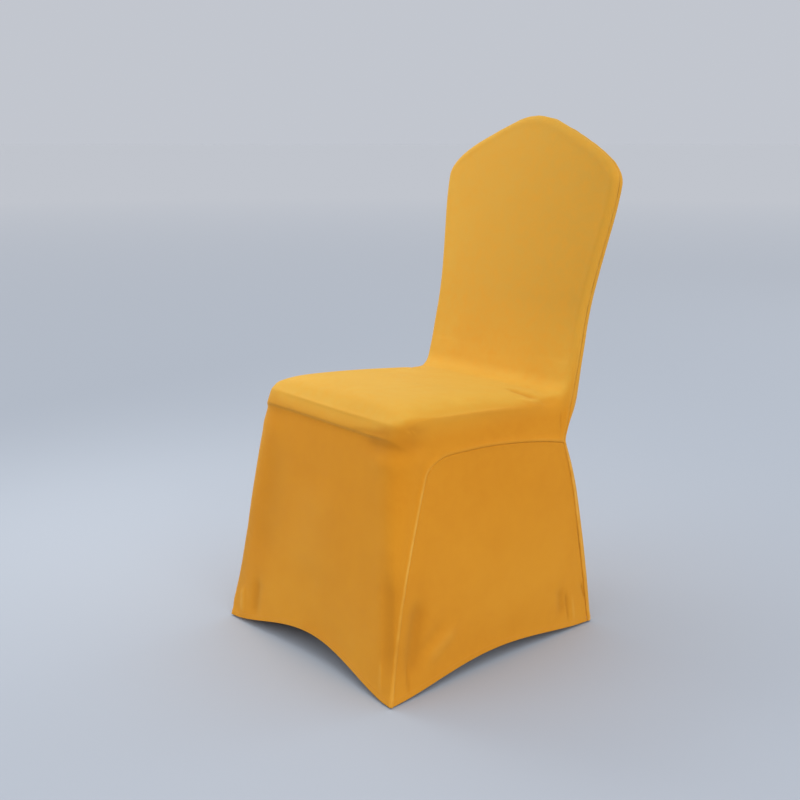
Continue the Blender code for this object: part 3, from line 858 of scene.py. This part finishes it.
def thread_material(name):
    """Spun thread: slanted strands with a faint gloss."""
    n = Nodes(name + "_thread")
    around, along = n.split(n.map("Cloth"))[:2]
    strand = n.math("SINE", n.times(n.math("ADD", around, along), 2 * np.pi * 3))
    n.shade("Base Color", n.mix(n.ramp(strand, -1.0, 1.0, 0.0, 0.5), THREAD, DEEP))
    n.shade("Roughness", n.ramp(strand, -1.0, 1.0, 0.60, 0.45))
    n.bump(strand, 0.4, 0.00005)
    return n.material


# Making the pieces


def put_in_scene(name, data):
    made = bpy.data.objects.new(name, data)
    bpy.context.scene.collection.objects.link(made)
    return made


def add_piece(name, points, faces, maps, material):
    """A piece named for a node, held under the root body: its mesh, its maps of coordinates by name, and
    its material.
    """
    mesh = bpy.data.meshes.new(name)
    mesh.from_pydata(np.asarray(points).tolist(), [], faces)
    mesh.validate()
    corners = np.zeros(len(mesh.loops), dtype=np.int32)
    mesh.loops.foreach_get("vertex_index", corners)
    for title, values in maps.items():
        layer = mesh.uv_layers.new(name=title)
        layer.data.foreach_set("uv", np.asarray(values, dtype=np.float32)[corners].ravel())
    mesh.materials.append(material)
    mesh.shade_smooth()
    made = put_in_scene(name, mesh)
    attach(made, "root")
    return made


def tube(first, rings, around):
    """Faces between rings of points that are numbered one after the other."""
    faces = []
    for low in range(first, first + (rings - 1) * around, around):
        for k in range(around):
            after = (k + 1) % around
            faces.append((low + k, low + after, low + around + after, low + around + k))
    return faces


def closed_skin(faces, count):
    """A thin skin's outer faces, its inner ones, numbered on from a count, and those of its edge."""
    skin = [tuple(face) for face in faces]
    skin += [tuple(number + count for number in face[::-1]) for face in faces]
    return skin + [(b, a, a + count, b + count) for a, b in border_of(faces).items()]


def border_lines(sheet, hem_keys):
    """The numbers of a sheet's border points along its seams and along its hem."""
    following = sheet.border

    def is_hem(number):
        return sheet.keys[number] in hem_keys and sheet.keys[following[number]] in hem_keys

    start = next(a for a in following if is_hem(a) and not is_hem(following[a]))
    loop = [following[start]]
    while loop[-1] != start:
        loop.append(following[loop[-1]])
    turn = next(k for k, number in enumerate(loop) if is_hem(number))
    return loop[: turn + 1], loop[turn:] + loop[:1]


def add_sheet(sheet, hem_grid, ridge, ridge_share, folds):
    """The sheet with its relief, as a closed thin skin, and the thread of its hem."""
    points, normals = np.array(sheet.points), sheet.normals
    seam, hem = border_lines(sheet, {key_of(p) for p in hem_grid[0]})
    seam_distance, seam_run = Line(points[seam]).near(points)
    hem_distance, hem_run = Line(points[hem]).near(points)
    inside = np.minimum(seam_distance, hem_distance)
    placed = points + TO_ORIGIN
    relief = seam_relief(seam_distance, seam_run, ridge) + hem_relief(hem_distance, hem_run)
    relief += rim_relief(seam_distance, points[:, 2])
    folded, tones = fold_relief(placed, folds)
    relief += folded * np.clip(inside / FOLDS_START, 0, 1)
    relief += unevenness(placed) * np.clip(inside / SLACK_START, 0, 1)
    outer = drawn_in(points, normals, sheet.border, SEAM_GAP / 2) + TO_ORIGIN + normals * relief[:, None]
    maps = {
        "Cloth": sheet.flat + sheet.flat,
        "Seam": np.tile(np.stack([seam_distance, seam_run], axis=1), (2, 1)),
        # the folds' painted shade and painted highlight, with the run along the seam
        "Folds": np.tile(np.stack([tones, seam_run], axis=1), (2, 1)),
    }
    both = np.concatenate([outer, outer - normals * CLOTH])
    faces = closed_skin(sheet.quads, len(outer))
    piece = add_piece(sheet.name + "_cloth", both, faces, maps, knit(sheet.name, ridge_share))
    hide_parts(sheet.name)
    numbers = np.array([[sheet.known[key_of(p)] for p in row] for row in hem_grid])
    thread = add_thread(sheet.name, *stitch_line(outer[numbers], normals[numbers]))
    return piece, thread


def stitch_line(grid, normals):
    """Where the stitches lie on a grid that runs up from the hem, and the way out from the cloth there."""
    line, ways = [], []
    for column in range(grid.shape[1]):
        run = run_along(grid[:, column])
        for found, values in ((line, grid), (ways, normals)):
            found.append([np.interp(HEM_STITCHES, run, values[:, column, k]) for k in range(3)])
    return np.array(line), np.array(ways) / np.linalg.norm(ways, axis=1)[:, None]


def add_thread(node, line, ways):
    """The stitches of a hem: short threads end to end, sunk at their ends."""
    run = run_along(line)

    def at(places, values):
        return np.stack([np.interp(places, run, values[:, k]) for k in range(3)], axis=-1)

    starts = np.arange(STITCH, run[-1] - 2 * STITCH, STITCH)
    count = len(starts)
    angles = np.arange(THREAD_SIDES) * 2 * np.pi / THREAD_SIDES
    points = []
    for share, size, lift in STITCH_RINGS:
        places = starts + share * STITCH * STITCH_FILL
        middle, out = at(places, line), at(places, ways)
        along = at(places + NEARBY, line) - at(places - NEARBY, line)
        aside = np.cross(along, out)
        aside /= np.linalg.norm(aside, axis=1)[:, None]
        ring = aside[:, None] * np.cos(angles)[:, None] + out[:, None] * np.sin(angles)[:, None]
        points.append((middle + out * lift * THREAD_RADIUS)[:, None] + ring * size * THREAD_RADIUS)
    points = np.stack(points, axis=1)
    rings = points.shape[1]
    faces = []
    for stitch in range(count):
        first = stitch * rings * THREAD_SIDES
        last = first + (rings - 1) * THREAD_SIDES
        faces += [(face[0], *face[:0:-1]) for face in tube(first, rings, THREAD_SIDES)]
        faces.append(tuple(range(first, first + THREAD_SIDES)))
        faces.append(tuple(range(last, last + THREAD_SIDES))[::-1])
    shape = (count, rings, THREAD_SIDES)
    around = np.broadcast_to(angles / THREAD_TURN, shape)
    along = np.broadcast_to(np.arange(rings)[:, None] / rings, shape)
    maps = {"Cloth": np.stack([around, along], axis=-1).reshape(-1, 2)}
    return add_piece(node + "_hem_thread", points.reshape(-1, 3), faces, maps, thread_material(node))


def pocket_ring(corner, inward, splay, inset, height):
    """A foot pocket's section at a height: a square with round corners in the cover's corner."""
    width = POCKET_WIDTH - 2 * inset
    radius = POCKET_CORNER - inset
    middle = corner + splay * height + inward * POCKET_WIDTH / 2
    ring = []
    for quarter, (sx, sy) in enumerate(((1, 1), (-1, 1), (-1, -1), (1, -1))):
        for step in range(POCKET_TURN + 1):
            angle = (quarter + step / POCKET_TURN) * np.pi / 2
            x = sx * (width / 2 - radius) + radius * np.cos(angle)
            y = sy * (width / 2 - radius) + radius * np.sin(angle)
            ring.append([middle[0] + x, middle[1] + y, height])
    return np.array(ring)


def add_pocket(name, foot, above, inside):
    """A cup sewn inside the cover's corner: its bottom rounds up into its wall."""
    inward = -np.sign(foot[:2])
    splay = (above[:2] - foot[:2]) / (above[2] - foot[2])
    corner = foot[:2] + inward * inside
    rings = []
    for turn in np.linspace(0, np.pi / 2, POCKET_TURN + 1)[1:]:
        inset, height = POCKET_ROUND * (1 - np.sin(turn)), POCKET_ROUND * (1 - np.cos(turn))
        rings.append(pocket_ring(corner, inward, splay, inset, height))
    for height in np.linspace(POCKET_ROUND, POCKET_HEIGHT, POCKET_ROWS)[1:]:
        pull = POCKET_PULL * np.sin(height / POCKET_HEIGHT * np.pi)
        rings.append(pocket_ring(corner, inward, splay, pull, height))
    for lower in (0.75, 0.5, 0.25):
        centre = rings[0].mean(axis=0)
        rings.insert(0, centre + (rings[0] - centre) * lower)
    outer = np.array(rings) + TO_ORIGIN
    count, around = len(outer), len(outer[0])
    ways = np.roll(outer, -1, axis=1) - np.roll(outer, 1, axis=1)
    ups = np.gradient(outer, axis=0)
    normals = np.cross(ways, ups)
    normals[0] = (0, 0, -1)
    normals /= np.linalg.norm(normals, axis=2)[..., None]
    inner = outer - normals * CLOTH
    points = np.concatenate([outer.reshape(-1, 3), inner.reshape(-1, 3)])
    faces = [tuple(range(around))[::-1]] + tube(0, count, around)
    steps = np.linalg.norm(np.roll(outer, -1, axis=1) - outer, axis=2)
    across = np.cumsum(steps, axis=1)
    along = np.cumsum(np.linalg.norm(ups, axis=2), axis=0)
    flat = np.stack([across, along], axis=2).reshape(-1, 2)
    maps = {"Cloth": np.concatenate([flat, flat])}
    faces = closed_skin(faces, count * around)
    piece = add_piece(name + "_cloth", points, faces, maps, knit(name, has_seams=False))
    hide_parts(name)
    return piece


def make_sheets():
    """The four large pieces, with the rows of each that lie at its hem."""
    skirt_places, skirt_shares = places_along(FRONT_SECTIONS, 0, SKIRT_TOP)
    seat_places, seat_shares = places_along(FRONT_SECTIONS, SKIRT_TOP, HIP)
    below_back = np.linspace(0, 1, BELOW_BACK_ROWS + 1)[1:]
    rear_places, rear_shares = places_along(BACK_SECTIONS, 0, REAR_HIP)
    rear_places = np.interp(skirt_shares, rear_shares, rear_places)
    front_rows = np.concatenate([skirt_places, seat_places[1:], HIP + below_back])
    back_rows = np.concatenate([rear_places, REAR_HIP + below_back * (len(BACK_SECTIONS) - REAR_HIP)])
    front_face, front_band, front_top = long_piece(FRONT_SECTIONS, front_rows, HIP, -1)
    back_face, back_band, back_top = long_piece(BACK_SECTIONS, back_rows, REAR_HIP, 1)
    legs = len(skirt_places)
    leg_seam = front_band[:legs, -1]
    top_seam = front_band[legs - 1 : legs - 1 + len(seat_places), -1]
    rear_seam = back_band[:legs, -1]
    side = side_grid(leg_seam, top_seam, rear_seam, seat_shares, skirt_shares)

    sheets = {row[0]: Sheet(row[0]) for row in SHEETS}
    hem_grids = {}
    for name, face, band, top, turned in (
        ("front_panel", front_face, front_band, front_top, False),
        ("back_panel", back_face, back_band, back_top, True),
    ):
        sheet = sheets[name]
        whole = np.concatenate([mirrored(band[:, ::-1]), face, band], axis=1)
        flat = flat_of(whole)
        bands = band.shape[1]
        side_band = whole[:, -bands - 1 :]
        side_flat = flat[:, -bands - 1 :]
        sheet.grid(face, flat[:, bands:-bands], turned)
        sheet.grid(side_band, side_flat, turned)
        sheet.grid(mirrored(side_band), side_flat * np.array([-1, 1]), not turned)
        top_band = np.concatenate([face[-1][:, None], top], axis=1)
        rise = np.linalg.norm(np.diff(top_band, axis=1), axis=2).cumsum(axis=1)
        rise = np.concatenate([np.zeros((len(rise), 1)), rise], axis=1)
        top_across = np.repeat(flat[-1, bands:-bands, :1], rise.shape[1], axis=1)
        sheet.grid(top_band, np.stack([top_across, flat[-1, 0, 1] + rise], axis=2), not turned)
        hem_grids[name] = whole[:HEM_ROWS]
    side_flat = flat_of(side)
    sheets["side_panel_right"].grid(side, side_flat)
    sheets["side_panel_left"].grid(mirrored(side), side_flat, True)
    hem_grids["side_panel_right"] = side[:HEM_ROWS]
    hem_grids["side_panel_left"] = mirrored(side[:HEM_ROWS])
    return sheets, hem_grids


def make_cover():
    sheets, hem_grids = make_sheets()
    shared_normals(list(sheets.values()))
    folds = folds_of_both_sides()
    for name, size, area, neighbours in SHEETS:
        ridge, share = SIDE_RIDGE if name.startswith("side") else LONG_RIDGE
        piece, thread = add_sheet(sheets[name], hem_grids[name], ridge, share, folds)

    for end, sections, inside in (
        ("front", FRONT_SECTIONS, FRONT_POCKET_IN),
        ("rear", BACK_SECTIONS, REAR_POCKET_IN),
    ):
        foot, above = np.array(sections[0][3:6]), np.array(sections[1][3:6])
        for hand, sign in (("right", 1), ("left", -1)):
            turn = np.array([sign, 1, 1])
            name = f"foot_pocket_{end}_{hand}"
            piece = add_pocket(name, foot * turn, above * turn, np.array(inside))


# Stage, light and camera


def add_floor():
    half = FLOOR_SIZE / 2
    mesh = bpy.data.meshes.new("floor")
    corners = [(x * half, y * half, -FLOOR_DROP) for x, y in ((-1, -1), (1, -1), (1, 1), (-1, 1))]
    mesh.from_pydata(corners, [], [(0, 1, 2, 3)])
    n = Nodes("floor")
    place = n.tree.nodes.new("ShaderNodeTexCoord").outputs["Object"]
    away = n.tree.nodes.new("ShaderNodeVectorMath")
    away.operation = "LENGTH"
    n.put(away.inputs[0], place)
    far = n.ramp(away.outputs["Value"], *FLOOR_FADE, 0.0, 1.0)
    n.shade("Base Color", n.mix(far, FLOOR, FAR_FLOOR))
    n.shade("Roughness", 0.9)
    n.shade("Specular IOR Level", 0.1)
    mesh.materials.append(n.material)
    put_in_scene("floor", mesh)


def add_lamp(name, place, target, size, power, colour, spread):
    light = bpy.data.lights.new(name, "AREA")
    light.shape = "RECTANGLE"
    light.size, light.size_y = size
    light.energy = power
    light.spread = np.radians(spread)
    light.color = colour
    made = put_in_scene(name, light)
    made.location = place
    way = Vector(target) - Vector(place)
    made.rotation_euler = way.to_track_quat("-Z", "Y").to_euler()


def add_light():
    world = bpy.data.worlds.new("studio")
    world.use_nodes = True
    tree = world.node_tree
    back = tree.nodes["Background"]
    coordinates = tree.nodes.new("ShaderNodeTexCoord")
    parts = tree.nodes.new("ShaderNodeSeparateXYZ")
    tree.links.new(coordinates.outputs["Generated"], parts.inputs[0])
    ramp = tree.nodes.new("ShaderNodeValToRGB")
    tree.links.new(parts.outputs[2], ramp.inputs[0])
    for stop, position, colour in zip(ramp.color_ramp.elements, WALL_FADE, (WALL, CEILING)):
        stop.position = position
        stop.color = colour
    tree.links.new(ramp.outputs[0], back.inputs["Color"])
    back.inputs["Strength"].default_value = 1.0
    bpy.context.scene.world = world
    for lamp in LAMPS:
        add_lamp(*lamp)


def add_camera():
    camera = bpy.data.cameras.new("camera")
    camera.sensor_fit = "HORIZONTAL"
    camera.sensor_width = SENSOR_MM
    camera.lens = SENSOR_MM * FOCAL_PIXELS / PICTURE_PIXELS
    camera.clip_start, camera.clip_end = CAMERA_CLIP
    made = put_in_scene("camera", camera)
    tilt = np.pi / 2 - np.radians(CAMERA_DOWN)
    turn = Matrix.Rotation(np.radians(CAMERA_AZIMUTH), 4, "Z") @ Matrix.Rotation(tilt, 4, "X")
    made.matrix_world = Matrix.Translation(CAMERA_PLACE) @ turn
    bpy.context.scene.camera = made
    bpy.context.scene.view_settings.view_transform = "Standard"


add_camera()
make_cover()
add_floor()
add_light()
